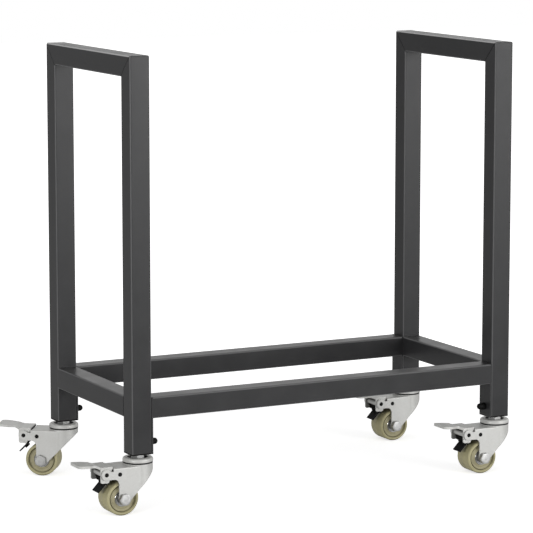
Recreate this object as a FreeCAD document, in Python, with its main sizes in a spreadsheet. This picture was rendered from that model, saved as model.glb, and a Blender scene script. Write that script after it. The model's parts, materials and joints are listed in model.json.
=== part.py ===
import FreeCAD, Part
import math
import os
import Sketcher

# Rolling rack of square steel tube on four braked swivel casters.
# Origin on the floor under the middle of the frame: X along the long rails, Y towards the rear, Z up.
# A caster is drawn in its own frame: swivel axis on Z, wheel trailing along +X, axle along Y.

SIZES = [
    ("frame_length", 645, "outside length over the posts"),
    ("frame_depth", 307.5, "outside depth over the posts"),
    ("post_height", 584, "foot of a leg to the top of the frame"),
    ("rail_clearance", 53, "foot of a leg to the underside of the rails"),
    ("tube_size", 31.75, "square tube, outside"),
    ("tube_wall", 1.5, "square tube, wall"),
    ("tube_corner", 2.5, "square tube, outside corner radius"),
    ("mitre_groove", 0.5, "rounding left along the mitred joints"),
    ("end_plate", 2, "plate welded to each end of a long rail"),
    ("plug_depth", 38, "leg plug inside the tube"),
    ("plug_lip", 2, "lip of the leg plug under the tube"),
    ("lock_height", 16, "locking screw above the foot of the leg"),
    ("lock_thread", 6, "locking screw, thread"),
    ("lock_hex", 10, "locking screw, collar across flats"),
    ("lock_collar", 6, "locking screw, length of the collar"),
    ("lock_dome", 9.6, "locking screw, domed end"),
    ("lock_length", 13.7, "locking screw, stand-out from the end plate"),
    ("lock_bite", 6.5, "locking screw, thread inside the leg"),
    ("stem_thread", 12, "caster stem, thread"),
    ("stem_reach", 30, "caster stem inside the leg plug"),
    ("stem_bevel", 1, "caster stem, bevelled end"),
    ("stem_nut_hex", 18, "jam nut across flats"),
    ("stem_nut_height", 6.3, "jam nut height"),
    ("nut_gap", 0.4, "jam nut to the foot of the leg"),
    ("kingpin", 11, "kingpin through the fork"),
    ("kingpin_head", 18, "kingpin head inside the fork"),
    ("kingpin_head_height", 3, "kingpin head, thickness"),
    ("cap_radius", 22.6, "bearing cap, outside radius"),
    ("cap_height", 6.5, "bearing cap, height"),
    ("cap_round", 3, "bearing cap, rounded rim"),
    ("cap_dish", 2, "bearing cap, depth of the dish on top"),
    ("cap_dish_radius", 15, "bearing cap, radius of the dish on top"),
    ("swivel_gap", 1, "open seam between cap and fork"),
    ("seat_height", 2, "raised race on the fork"),
    ("seat_round", 0.8, "raised race, rounded rim"),
    ("ball_size", 5.2, "swivel ball"),
    ("ball_track", 15, "radius of the ring of balls"),
    ("wheel_size", 50.8, "wheel diameter"),
    ("wheel_width", 35, "tread width"),
    ("tread_round", 3.2, "rounded shoulders of the tread"),
    ("tread_bevel", 1.5, "bevel of the tread next to the core"),
    ("core_radius", 20, "wheel core inside the tread"),
    ("core_width", 31, "wheel core width"),
    ("core_dish", 1.3, "ring hollow in the side of the core"),
    ("bearing_size", 24, "wheel bearing, outside"),
    ("bearing_bore", 12, "wheel bearing, bore"),
    ("bearing_width", 6, "wheel bearing, width"),
    ("bearing_rim", 1.8, "wheel bearing, width of its two rings"),
    ("shield_dish", 0.6, "wheel bearing, depth of the shield"),
    ("axle_thread", 10, "axle bolt, thread"),
    ("axle_hex", 16, "axle bolt and nut across flats"),
    ("axle_head", 6.4, "axle bolt, head height"),
    ("axle_nut_height", 8, "axle nut height"),
    ("axle_end", 1.2, "axle bolt past the nut"),
    ("bushing_collar", 16, "axle bushing, collar"),
    ("caster_trail", 32, "swivel axis to axle"),
    ("fork_crown", 21.8, "top of the wheel to the top of the fork"),
    ("fork_width", 43, "fork over its side plates"),
    ("fork_sheet", 2.5, "fork sheet"),
    ("nose_flare", 0.6, "round nose outside the side plates, each side"),
    ("fork_slope_angle", 45.5, "slope of the lower edge, degrees"),
    ("fork_round", 2, "bend between top plate and side plates"),
    ("axle_boss", 9.3, "fork end around the axle, radius"),
    ("leg_edge", 7.4, "axle to the edge of the side plates over the wheel"),
    ("arch_round", 8, "inner corner over the wheel"),
    ("ear_radius", 7.9, "ears that hold the pedal"),
    ("notch_step", 4.5, "step down behind the top plate"),
    ("notch_reach", 11.3, "pedal pin to that step"),
    ("deck_gap", 1.5, "top plate inset from that step"),
    ("pedal_pin_reach", 27.3, "axle to pedal pin, along"),
    ("pedal_pin_drop", 8.6, "fork top to pedal pin"),
    ("brake_pin_reach", 6.2, "axle to brake pin, along"),
    ("brake_pin_drop", 9.6, "fork top to brake pin"),
    ("pin_size", 5, "pedal pin and brake pin"),
    ("pin_head", 6.4, "pin heads"),
    ("pin_head_height", 0.8, "pin heads, stand-out"),
    ("pedal_sheet", 3.7, "pedal top plate"),
    ("pedal_flange_sheet", 2, "pedal side flanges"),
    ("pedal_barrel", 10, "pedal, barrel on its pin"),
    ("pedal_sink", 1.2, "underside of the pedal plate below the fork top"),
    ("pedal_reach", 41.8, "pedal pin to the tip of the pedal"),
    ("pedal_heel", 10.8, "pedal pin to the heel of the pedal"),
    ("pedal_ramp_start", 6.7, "pedal pin to the foot of the ramp"),
    ("pedal_ramp_end", 14.9, "pedal pin to the head of the ramp"),
    ("pedal_ramp_rise", 3.3, "rise of the ramp"),
    ("pedal_tip_rise", 5, "rise of the tip over the heel"),
    ("pedal_bend", 5, "bends of the pedal plate"),
    ("pedal_neck", 26.8, "pedal, width of the neck"),
    ("pedal_flare", 36, "pedal, width of the flared end"),
    ("pedal_flare_start", 25.5, "pedal pin to the full flare"),
    ("pedal_corner", 5, "pedal, rounded corners"),
    ("flange_heel", 9.5, "flange behind the pedal pin"),
    ("flange_toe", 8.2, "flange ahead of the pedal pin"),
    ("flange_waist", 5.5, "lower part of the flange behind the pin"),
    ("flange_drop", 12.6, "flange below the pedal pin"),
    ("flange_shoulder", 6, "step of the flange below the pin"),
    ("flange_round", 3, "rounded corners of the flange"),
    ("cam_size", 4, "cross bar that pushes the brake plate"),
    ("brake_angle", 43.5, "direction from axle to brake plate, degrees"),
    ("brake_gap", 4.6, "brake pad to tread, brake off"),
    ("brake_sheet", 2, "brake plate"),
    ("brake_width", 30.4, "brake plate, width of its arm"),
    ("tongue_width", 20.5, "brake plate, width of the tongue at its lower end"),
    ("tongue_start", 1, "upper end of the tongue, down the slope"),
    ("brake_knee", 14, "bend of the arm, measured up the slope"),
    ("brake_end", 17, "lower end, measured down the slope"),
    ("brake_bend", 6, "brake plate, inside bend"),
    ("barrel_size", 8, "brake plate, barrel on its pin"),
    ("pad_thickness", 3, "rubber brake pad"),
    ("pad_start", 1.5, "upper end of the pad, down the slope"),
    ("pad_end", 7.5, "lower end of the pad, down the slope"),
    ("pad_inset", 5.5, "pad narrower than its plate, each side"),
    ("pad_round", 1, "pad, rounded corners"),
    ("front_left_heading", 180, "direction the wheel trails, degrees"),
    ("front_right_heading", 180, "direction the wheel trails, degrees"),
    ("rear_left_heading", 144, "direction the wheel trails, degrees"),
    ("rear_right_heading", 180, "direction the wheel trails, degrees"),
    ("fit_slack", 0.05, "bolt or shaft in its hole, radial"),
    ("side_slack", 0.4, "moving plate beside a fixed one"),
    ("race_slack", 0.3, "ball or kingpin beside its race"),
    ("cut_margin", 4, "overshoot of a cutting outline"),
]
BALLS = 10
LEGS = [
    ("front_left", -1, -1),
    ("front_right", 1, -1),
    ("rear_left", -1, 1),
    ("rear_right", 1, 1),
]

doc = FreeCAD.newDocument("rolling_rack")
sheet = doc.addObject("Spreadsheet::Sheet", "sizes")
for row, (alias, number, note) in enumerate(SIZES, start=1):
    sheet.set(f"A{row}", alias)
    sheet.set(f"B{row}", str(number))
    sheet.setAlias(f"B{row}", alias)
    sheet.set(f"C{row}", note)
doc.recompute()


class Size:
    """A size of the sheet, or a sum made of such sizes: its value together with its expression."""

    def __init__(self, value, text):
        self.value = float(value)
        self.text = text

    def __add__(self, other):
        other = as_size(other)
        return Size(self.value + other.value, f"({self.text} + {other.text})")

    def __sub__(self, other):
        other = as_size(other)
        return Size(self.value - other.value, f"({self.text} - {other.text})")

    def __mul__(self, other):
        other = as_size(other)
        return Size(self.value * other.value, f"({self.text} * {other.text})")

    def __truediv__(self, other):
        other = as_size(other)
        return Size(self.value / other.value, f"({self.text} / {other.text})")

    def __neg__(self):
        return Size(-self.value, f"(-1 * {self.text})")

    def __rmul__(self, other):
        return as_size(other) * self


def as_size(thing):
    if isinstance(thing, Size):
        return thing
    return Size(thing, f"({float(thing)})")


def cosine(angle):
    return Size(math.cos(math.radians(angle.value)), f"cos({angle.text})")


def sine(angle):
    return Size(math.sin(math.radians(angle.value)), f"sin({angle.text})")


def tangent(angle):
    return Size(math.tan(math.radians(angle.value)), f"tan({angle.text})")


def root(number):
    return Size(math.sqrt(number.value), f"sqrt({number.text})")


given = {alias: Size(sheet.get(alias), f"sizes.{alias}") for alias, _, _ in SIZES}
ZERO = as_size(0)


def bind(thing, prop, size):
    thing.setExpression(prop, as_size(size).text)


# Sketches: every corner and centre is held by an expression on the sheet.
def new_body(label):
    body = doc.addObject("PartDesign::Body", label)
    body.Label = label
    return body


def sketch_on(body, plane, lift=None):
    sketch = body.newObject("Sketcher::SketchObject", "outline")
    support = next(f for f in body.Origin.OriginFeatures if f.Role == plane)
    sketch.AttachmentSupport = [(support, "")]
    sketch.MapMode = "FlatFace"
    if lift is not None:
        bind(sketch, ".AttachmentOffset.Base.z", lift)
    return sketch


def hold(sketch, kind, geometry, point, size):
    size = as_size(size)
    index = sketch.addConstraint(Sketcher.Constraint(kind, -1, 1, geometry, point, size.value))
    bind(sketch, f"Constraints[{index}]", size)


def hold_point(sketch, geometry, point, x, y):
    hold(sketch, "DistanceX", geometry, point, x)
    hold(sketch, "DistanceY", geometry, point, y)


def hold_radius(sketch, geometry, radius):
    radius = as_size(radius)
    index = sketch.addConstraint(Sketcher.Constraint("Radius", geometry, radius.value))
    bind(sketch, f"Constraints[{index}]", radius)


def vector(x, y, z=0.0):
    return FreeCAD.Vector(x, y, z)


def circle(sketch, x, y, radius):
    middle = vector(as_size(x).value, as_size(y).value)
    index = sketch.addGeometry(Part.Circle(middle, vector(0, 0, 1), as_size(radius).value))
    hold_point(sketch, index, 3, x, y)
    hold_radius(sketch, index, radius)


def outline(sketch, corners):
    """A closed loop through the corners; a corner is (x, y), or (x, y, radius) where it is rounded."""
    count = len(corners)
    spots = [vector(as_size(c[0]).value, as_size(c[1]).value) for c in corners]
    radii = [as_size(c[2]).value if len(c) > 2 else 0.0 for c in corners]
    leave, arrive, middles, turns = [], [], [], []
    for i in range(count):
        back = (spots[i - 1] - spots[i]).normalize()
        ahead = (spots[(i + 1) % count] - spots[i]).normalize()
        half = back.getAngle(ahead) / 2
        run = radii[i] / math.tan(half)
        arrive.append(spots[i] + back * run)
        leave.append(spots[i] + ahead * run)
        middles.append(spots[i] + (back + ahead).normalize() * (radii[i] / math.sin(half)))
        turns.append(back.cross(ahead).z)
    lines = []
    for i in range(count):
        after = (i + 1) % count
        lines.append(sketch.addGeometry(Part.LineSegment(leave[i], arrive[after])))
    for i in range(count):
        before, line = lines[i - 1], lines[i]
        if radii[i] == 0.0:
            sketch.addConstraint(Sketcher.Constraint("Coincident", before, 2, line, 1))
            hold_point(sketch, line, 1, corners[i][0], corners[i][1])
            continue
        first, last = (arrive[i], leave[i]) if turns[i] < 0 else (leave[i], arrive[i])
        spans = [math.atan2(p.y - middles[i].y, p.x - middles[i].x) for p in (first, last)]
        ring = Part.Circle(middles[i], vector(0, 0, 1), radii[i])
        arc = sketch.addGeometry(Part.ArcOfCircle(ring, spans[0], spans[1]))
        enter, leave_by = (1, 2) if turns[i] < 0 else (2, 1)
        tip = sketch.addGeometry(Part.Point(spots[i]), True)
        sketch.addConstraint(Sketcher.Constraint("Tangent", before, 2, arc, enter))
        sketch.addConstraint(Sketcher.Constraint("Tangent", arc, leave_by, line, 1))
        sketch.addConstraint(Sketcher.Constraint("PointOnObject", tip, 1, before))
        sketch.addConstraint(Sketcher.Constraint("PointOnObject", tip, 1, line))
        hold_point(sketch, tip, 1, corners[i][0], corners[i][1])
        hold_radius(sketch, arc, corners[i][2])


def rectangle(sketch, x_low, x_high, y_low, y_high, rounding=None):
    extra = () if rounding is None else (rounding,)
    outline(sketch, [(x_low, y_low) + extra, (x_high, y_low) + extra,
                     (x_high, y_high) + extra, (x_low, y_high) + extra])


def square(sketch, side, rounding):
    half = side / 2
    rectangle(sketch, -half, half, -half, half, rounding)


def hexagon(sketch, flats):
    """A hexagon round the origin with two corners on the first axis."""
    reach = flats / root(as_size(3))
    half = reach / 2
    flat = flats / 2
    outline(sketch, [(reach, ZERO), (half, flat), (-half, flat),
                     (-reach, ZERO), (-half, -flat), (half, -flat)])


# Features.
def pad(body, sketch, length, both=False, back=False):
    feature = body.newObject("PartDesign::Pad", "pad")
    feature.Profile = sketch
    feature.SideType = "Symmetric" if both else "One side"
    feature.Reversed = back
    bind(feature, "Length", length)
    return feature


def pocket(body, sketch, depth=None, back=False):
    """Cuts through everything both ways, or to a depth: down the sketch normal, or up it with back."""
    feature = body.newObject("PartDesign::Pocket", "pocket")
    feature.Profile = sketch
    if depth is None:
        feature.SideType = "Symmetric"
        feature.Type = "ThroughAll"
    else:
        feature.Reversed = back
        bind(feature, "Length", depth)
    return feature


def revolve(body, sketch, axis):
    feature = body.newObject("PartDesign::Revolution", "turned")
    feature.Profile = sketch
    feature.ReferenceAxis = (sketch, [axis])
    feature.Angle = 360
    return feature


def round_edges(body, base, radius, pick):
    """A fillet along the edges that pick finds on the shape of the base feature."""
    doc.recompute()
    wanted = pick(base.Shape)
    names = [f"Edge{i}" for i, edge in enumerate(base.Shape.Edges, start=1)
             if any(edge.isSame(other) for other in wanted)]
    feature = body.newObject("PartDesign::Fillet", "rounded")
    feature.Base = (base, names)
    bind(feature, "Radius", radius)
    return feature


def place(thing, x, y, z, turn=None, axis=(0, 0, 1), angle=0):
    thing.Placement = FreeCAD.Placement(vector(0, 0), FreeCAD.Rotation(vector(*axis), angle))
    for letter, size in zip("xyz", (x, y, z)):
        bind(thing, f".Placement.Base.{letter}", size)
    if turn is not None:
        thing.Placement = FreeCAD.Placement(vector(0, 0), FreeCAD.Rotation(vector(0, 0, 1), 1))
        bind(thing, ".Placement.Rotation.Angle", turn)


nodes = []


def node(thing):
    nodes.append(thing)


def group(label, members):
    """Several like pieces of one body kept as one node."""
    bundle = doc.addObject("Part::Compound", label)
    bundle.Label = label
    bundle.Links = members
    node(bundle)


g = given
tube = g["tube_size"]
half_tube = tube / 2
slack = g["fit_slack"]
margin = g["cut_margin"]
leg_x = (g["frame_length"] - tube) / 2
leg_y = (g["frame_depth"] - tube) / 2

# Heights, built up from the floor.
axle_z = g["wheel_size"] / 2
fork_top = g["wheel_size"] + g["fork_crown"]
seat_top = fork_top + g["seat_height"]
cap_bottom = seat_top + g["swivel_gap"]
cap_top = cap_bottom + g["cap_height"]
cap_floor = cap_top - g["cap_dish"]
nut_top = cap_floor + g["stem_nut_height"]
leg_bottom = nut_top + g["nut_gap"]
tube_bottom = leg_bottom + g["plug_lip"]
rail_z = leg_bottom + g["rail_clearance"] + half_tube
frame_top = leg_bottom + g["post_height"]
top_rail_z = frame_top - half_tube


# Square tubes of the frame.
def tube_body(label, length):
    body = new_body(label)
    section = sketch_on(body, "XY_Plane")
    square(section, tube, g["tube_corner"])
    square(section, tube - g["tube_wall"] * 2, g["tube_corner"] - g["tube_wall"])
    return body, pad(body, section, length)


def mitre(body, corners):
    """Cuts a slanted end."""
    cutter = sketch_on(body, "YZ_Plane")
    outline(cutter, corners)
    return pocket(body, cutter)


def mitre_rims(shape):
    """Outer edges of the slanted ends: rounded a little, they leave a fine line at the joint."""
    edges = []
    for face in shape.Faces:
        normal = face.normalAt(0, 0)
        if face.Surface.TypeId == "Part::GeomPlane" and min(abs(normal.y), abs(normal.z)) > 0.5:
            edges += face.OuterWire.Edges
    return edges


def post(label, side_x, side_y):
    length = frame_top - tube_bottom
    body, _ = tube_body(label, length)
    outer = (half_tube + margin) * side_y
    high = length + margin
    low = length - tube - margin
    cut = mitre(body, [(outer, high), (-outer, high), (-outer, low)])
    round_edges(body, cut, g["mitre_groove"], mitre_rims)
    hole = sketch_on(body, "YZ_Plane")
    circle(hole, ZERO, g["lock_height"] - g["plug_lip"], g["lock_thread"] / 2 + slack)
    pocket(body, hole, tube, back=side_x < 0)
    place(body, leg_x * side_x, leg_y * side_y, tube_bottom)
    node(body)


def top_rail(label, side_x):
    length = g["frame_depth"]
    body, _ = tube_body(label, length)
    outer = half_tube + margin
    mitre(body, [(outer, -margin), (outer, tube + margin), (-outer, -margin)])
    cut = mitre(body, [(outer, length + margin), (outer, length - tube - margin),
                       (-outer, length + margin)])
    round_edges(body, cut, g["mitre_groove"], mitre_rims)
    place(body, leg_x * side_x, -length / 2, top_rail_z, axis=(1, 0, 0), angle=-90)
    node(body)


def cross_rail(label, side_x):
    length = g["frame_depth"] - tube * 2
    body, _ = tube_body(label, length)
    place(body, leg_x * side_x, -length / 2, rail_z, axis=(1, 0, 0), angle=-90)
    node(body)


def long_rail(label, side_y):
    """A rail with a plate on each end; the plates reach down the legs, where a screw holds them."""
    length = g["frame_length"] - tube * 2
    body, _ = tube_body(label, length)
    for start in (ZERO, length - g["end_plate"]):
        plate = sketch_on(body, "XY_Plane", start)
        rectangle(plate, -half_tube, half_tube + g["rail_clearance"], -half_tube, half_tube)
        square(plate, tube - g["tube_wall"] * 2, g["tube_corner"] - g["tube_wall"])
        pad(body, plate, g["end_plate"])
    hole = sketch_on(body, "XY_Plane")
    circle(hole, half_tube + g["rail_clearance"] - g["lock_height"], ZERO, g["lock_thread"] / 2 + slack)
    pocket(body, hole)
    place(body, -length / 2, leg_y * side_y, rail_z, axis=(0, 1, 0), angle=90)
    node(body)


for name, side_x, side_y in LEGS:
    end, side = name.split("_")
    post(f"{side}_{end}_post", side_x, side_y)
for side, side_x in (("left", -1), ("right", 1)):
    top_rail(f"{side}_top_rail", side_x)
    cross_rail(f"{side}_cross_rail", side_x)
long_rail("front_rail", -1)
long_rail("rear_rail", 1)


# Fittings at the foot of each leg.
def leg_plug(label, side_x):
    body = new_body(label)
    lip = sketch_on(body, "XY_Plane")
    square(lip, tube, g["tube_corner"])
    pad(body, lip, g["plug_lip"])
    shank = sketch_on(body, "XY_Plane", g["plug_lip"])
    inside = tube - (g["tube_wall"] + slack) * 2
    square(shank, inside, g["tube_corner"] - g["tube_wall"] + slack)
    pad(body, shank, g["plug_depth"])
    bore = sketch_on(body, "XY_Plane")
    circle(bore, ZERO, ZERO, g["stem_thread"] / 2 + slack)
    pocket(body, bore)
    side_hole = sketch_on(body, "YZ_Plane")
    circle(side_hole, ZERO, g["lock_height"], g["lock_thread"] / 2 + slack)
    pocket(body, side_hole, tube, back=side_x < 0)
    return body


def locking_screw(label):
    """Axis along X, outside face of the end plate at X = 0."""
    body = new_body(label)
    collar = sketch_on(body, "YZ_Plane")
    hexagon(collar, g["lock_hex"])
    pad(body, collar, g["lock_collar"])
    turned = sketch_on(body, "XY_Plane")
    thread = g["lock_thread"] / 2
    dome = g["lock_dome"] / 2
    tip = -(g["end_plate"] + g["lock_bite"])
    outline(turned, [(tip, ZERO), (g["lock_length"], ZERO),
                     (g["lock_length"], dome, dome * 0.9), (g["lock_collar"], dome),
                     (g["lock_collar"], thread), (tip, thread)])
    revolve(body, turned, "H_Axis")
    return body


def caster_stem(label):
    body = new_body(label)
    turned = sketch_on(body, "XZ_Plane")
    head_top = fork_top - g["fork_sheet"] - g["race_slack"]
    head_low = head_top - g["kingpin_head_height"]
    head = g["kingpin_head"] / 2
    pin = g["kingpin"] / 2
    thread = g["stem_thread"] / 2
    end = leg_bottom + g["stem_reach"]
    bevel = g["stem_bevel"]
    outline(turned, [(ZERO, head_low), (head, head_low), (head, head_top), (pin, head_top),
                     (pin, cap_bottom), (thread, cap_bottom), (thread, end - bevel),
                     (thread - bevel, end), (ZERO, end)])
    revolve(body, turned, "V_Axis")
    return body


def jam_nut(label):
    body = new_body(label)
    hexed = sketch_on(body, "XY_Plane", cap_floor)
    hexagon(hexed, g["stem_nut_hex"])
    circle(hexed, ZERO, ZERO, g["stem_thread"] / 2 + slack)
    pad(body, hexed, g["stem_nut_height"])
    return body


ball_radius = g["ball_size"] / 2
race_half = ball_radius + g["race_slack"]
ball_z = (seat_top + cap_bottom) / 2


def bearing_cap(label):
    body = new_body(label)
    turned = sketch_on(body, "XZ_Plane")
    bore = g["stem_thread"] / 2 + slack
    race_top = ball_z + race_half
    race_in = g["ball_track"] - race_half
    race_out = g["ball_track"] + race_half
    outline(turned, [(bore, cap_bottom), (race_in, cap_bottom), (race_in, race_top),
                     (race_out, race_top), (race_out, cap_bottom), (g["cap_radius"], cap_bottom),
                     (g["cap_radius"], cap_top, g["cap_round"]), (g["cap_dish_radius"], cap_top),
                     (g["cap_dish_radius"], cap_floor), (bore, cap_floor)])
    revolve(body, turned, "V_Axis")
    return body


def swivel_ball(label, x, y, step):
    ball = doc.addObject("Part::Sphere", label)
    bind(ball, "Radius", ball_radius)
    turn = as_size(360.0 * step / BALLS)
    place(ball, x + g["ball_track"] * cosine(turn), y + g["ball_track"] * sine(turn), ball_z)
    return ball


plugs, screws, stems, nuts, caps, balls = [], [], [], [], [], []
for name, side_x, side_y in LEGS:
    x, y = leg_x * side_x, leg_y * side_y
    plug = leg_plug(f"{name}_leg_plug", side_x)
    place(plug, x, y, leg_bottom)
    plugs.append(plug)
    screw = locking_screw(f"{name}_locking_screw")
    place(screw, x - (half_tube + g["end_plate"]) * side_x, y, leg_bottom + g["lock_height"],
          angle=0 if side_x < 0 else 180)
    screws.append(screw)
    for maker, bin_of_parts in ((caster_stem, stems), (jam_nut, nuts), (bearing_cap, caps)):
        piece = maker(f"{name}_{maker.__name__}")
        place(piece, x, y, ZERO)
        bin_of_parts.append(piece)
    for step in range(BALLS):
        balls.append(swivel_ball(f"{name}_ball_{step}", x, y, step))
group("leg_plugs", plugs)
group("locking_screws", screws)
group("caster_stems", stems)
group("jam_nuts", nuts)
group("bearing_caps", caps)
group("swivel_balls", balls)

# Caster: places that several pieces share, in the frame of the caster.
trail = g["caster_trail"]
fork_half = g["fork_width"] / 2
fork_nose = fork_half + g["nose_flare"]
fork_inside = fork_half - g["fork_sheet"]
pedal_pin = (trail + g["pedal_pin_reach"], fork_top - g["pedal_pin_drop"])
brake_pin = (trail + g["brake_pin_reach"], fork_top - g["brake_pin_drop"])
step_x = pedal_pin[0] - g["notch_reach"]
far_x = pedal_pin[0] + g["ear_radius"] + margin
out_u, out_z = cosine(g["brake_angle"]), sine(g["brake_angle"])
plate_out = axle_z + g["brake_gap"] + g["pad_thickness"]


def by_brake(outward, down):
    """A point beside the brake plate: outward from the axle, and down the slope of the plate."""
    return (trail + out_u * outward + out_z * down, axle_z + out_z * outward - out_u * down)


def nose_plan(sketch, radius, half, far):
    """Plan of the fork: a round nose about the swivel axis, running into two parallel sides."""
    start = math.acos(math.sqrt(radius.value ** 2 - half.value ** 2) / radius.value)
    meet = radius.value * math.cos(start)
    ring = Part.Circle(vector(0, 0), vector(0, 0, 1), radius.value)
    nose = sketch.addGeometry(Part.ArcOfCircle(ring, start, 2 * math.pi - start))
    spots = [vector(meet, -half.value), vector(far.value, -half.value),
             vector(far.value, half.value), vector(meet, half.value)]
    sides = [sketch.addGeometry(Part.LineSegment(a, b)) for a, b in zip(spots, spots[1:])]
    ends = [(nose, 2, sides[0], 1), (sides[0], 2, sides[1], 1),
            (sides[1], 2, sides[2], 1), (sides[2], 2, nose, 1)]
    for joint in ends:
        sketch.addConstraint(Sketcher.Constraint("Coincident", *joint))
    sketch.addConstraint(Sketcher.Constraint("Coincident", nose, 3, -1, 1))
    sketch.addConstraint(Sketcher.Constraint("Horizontal", sides[0]))
    sketch.addConstraint(Sketcher.Constraint("Horizontal", sides[2]))
    hold_radius(sketch, nose, radius)
    hold_point(sketch, sides[1], 1, far, -half)
    hold_point(sketch, sides[1], 2, far, half)


def trim_to_plan(body, low_x, high_x, half_y):
    """A sketch whose outer frame is larger than the body: what is drawn inside it stays."""
    plan = sketch_on(body, "XY_Plane")
    rectangle(plan, low_x, high_x, -half_y, half_y)
    return plan


def fork(label):
    body = new_body(label)
    boss = g["axle_boss"]
    slant = tangent(g["fork_slope_angle"])
    touch_u = trail - boss * sine(g["fork_slope_angle"])
    touch_z = axle_z - boss * cosine(g["fork_slope_angle"])
    tip_u = -(fork_nose + g["fork_sheet"])
    boss_u = trail + g["leg_edge"]
    ear_low = pedal_pin[1] - g["ear_radius"]
    step_z = fork_top - g["notch_step"]
    side = sketch_on(body, "XZ_Plane")
    outline(side, [(tip_u, fork_top), (step_x, fork_top), (step_x, step_z),
                   (pedal_pin[0], step_z), (pedal_pin[0], ear_low),
                   (boss_u, ear_low, g["arch_round"]),
                   (boss_u, touch_z - (boss_u - touch_u) * slant, boss),
                   (tip_u, touch_z + (touch_u - tip_u) * slant)])
    block = fork_nose * 2 + margin
    pad(body, side, block, both=True)
    ear = sketch_on(body, "XZ_Plane")
    circle(ear, pedal_pin[0], pedal_pin[1], g["ear_radius"])
    pad(body, ear, g["fork_width"], both=True)
    plan = trim_to_plan(body, tip_u - margin, far_x + margin, block)
    nose_plan(plan, fork_nose, fork_half, far_x)
    pocket(body, plan)
    hollow = sketch_on(body, "XY_Plane")
    nose_plan(hollow, fork_nose - g["fork_sheet"], fork_inside, far_x)
    pocket(body, hollow, fork_top - g["fork_sheet"], back=True)
    slot = sketch_on(body, "XY_Plane")
    rectangle(slot, step_x - g["deck_gap"], far_x, -fork_inside, fork_inside)
    opened = pocket(body, slot)
    round_edges(body, opened, g["fork_round"], top_bends)
    race = sketch_on(body, "XY_Plane", fork_top - g["fork_sheet"] / 2)
    circle(race, ZERO, ZERO, fork_nose)
    raised = pad(body, race, g["seat_height"] + g["fork_sheet"] / 2)
    round_edges(body, raised, g["seat_round"], race_rim)
    groove = sketch_on(body, "XY_Plane", seat_top)
    circle(groove, ZERO, ZERO, g["ball_track"] - race_half)
    circle(groove, ZERO, ZERO, g["ball_track"] + race_half)
    pocket(body, groove, seat_top - ball_z + race_half)
    kingpin_hole = sketch_on(body, "XY_Plane")
    circle(kingpin_hole, ZERO, ZERO, g["kingpin"] / 2 + g["race_slack"])
    pocket(body, kingpin_hole)
    holes = sketch_on(body, "XZ_Plane")
    circle(holes, trail, axle_z, g["axle_thread"] / 2 + slack)
    circle(holes, pedal_pin[0], pedal_pin[1], g["pin_size"] / 2 + slack)
    circle(holes, brake_pin[0], brake_pin[1], g["pin_size"] / 2 + slack)
    pocket(body, holes)
    return body


def top_bends(shape):
    """The two straight edges between the top plate and the side plates."""
    edges = []
    for edge in shape.Edges:
        box = edge.BoundBox
        straight = box.XLength > 1 and box.YLength < 1e-6 and box.ZLength < 1e-6
        beside = abs(abs(box.YMax) - fork_half.value) < 1e-6
        if straight and beside and abs(box.ZMax - fork_top.value) < 1e-6:
            edges.append(edge)
    return edges


def race_rim(shape):
    """The outer edge of the raised race."""
    edges = []
    for edge in shape.Edges:
        box = edge.BoundBox
        level = box.ZLength < 1e-6 and abs(box.ZMax - seat_top.value) < 1e-6
        if level and box.XLength > fork_nose.value:
            edges.append(edge)
    return edges


def axle_bolt(label):
    body = new_body(label)
    head = sketch_on(body, "XZ_Plane", -fork_half)
    hexagon(head, g["axle_hex"])
    pad(body, head, g["axle_head"], back=True)
    shank = sketch_on(body, "XZ_Plane", -fork_half)
    circle(shank, ZERO, ZERO, g["axle_thread"] / 2)
    pad(body, shank, g["fork_width"] + g["axle_nut_height"] + g["axle_end"])
    return body


def axle_nut(label):
    body = new_body(label)
    hexed = sketch_on(body, "XZ_Plane", fork_half)
    hexagon(hexed, g["axle_hex"])
    circle(hexed, ZERO, ZERO, g["axle_thread"] / 2 + slack)
    pad(body, hexed, g["axle_nut_height"])
    return body


core_half = g["core_width"] / 2


def axle_bushing(label, side):
    body = new_body(label)
    turned = sketch_on(body, "XY_Plane")
    bore = g["axle_thread"] / 2 + slack
    tube_out = g["bearing_bore"] / 2 - slack
    collar = g["bushing_collar"] / 2
    near = (core_half + g["race_slack"]) * side
    inner = core_half - g["bearing_width"]
    outline(turned, [(bore, inner * side), (tube_out, inner * side), (tube_out, near),
                     (collar, near), (collar, fork_inside * side), (bore, fork_inside * side)])
    revolve(body, turned, "V_Axis")
    return body


def wheel_tread(label):
    body = new_body(label)
    turned = sketch_on(body, "XY_Plane")
    half = g["wheel_width"] / 2
    bevel = g["tread_bevel"]
    inside = g["core_radius"]
    outline(turned, [(inside, -(half - bevel)), (inside + bevel, -half),
                     (axle_z, -half, g["tread_round"]), (axle_z, half, g["tread_round"]),
                     (inside + bevel, half), (inside, half - bevel)])
    revolve(body, turned, "V_Axis")
    return body


def wheel_core(label):
    body = new_body(label)
    turned = sketch_on(body, "XY_Plane")
    bore = g["bearing_size"] / 2
    rim = g["core_radius"] - slack
    wall = (rim - bore) / 4
    floor = core_half - g["core_dish"]
    outline(turned, [(bore, -core_half), (bore + wall, -core_half), (bore + wall * 2, -floor),
                     (rim - wall, -floor), (rim, -core_half), (rim, core_half),
                     (rim - wall, floor), (bore + wall * 2, floor), (bore + wall, core_half),
                     (bore, core_half)])
    revolve(body, turned, "V_Axis")
    return body


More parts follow.
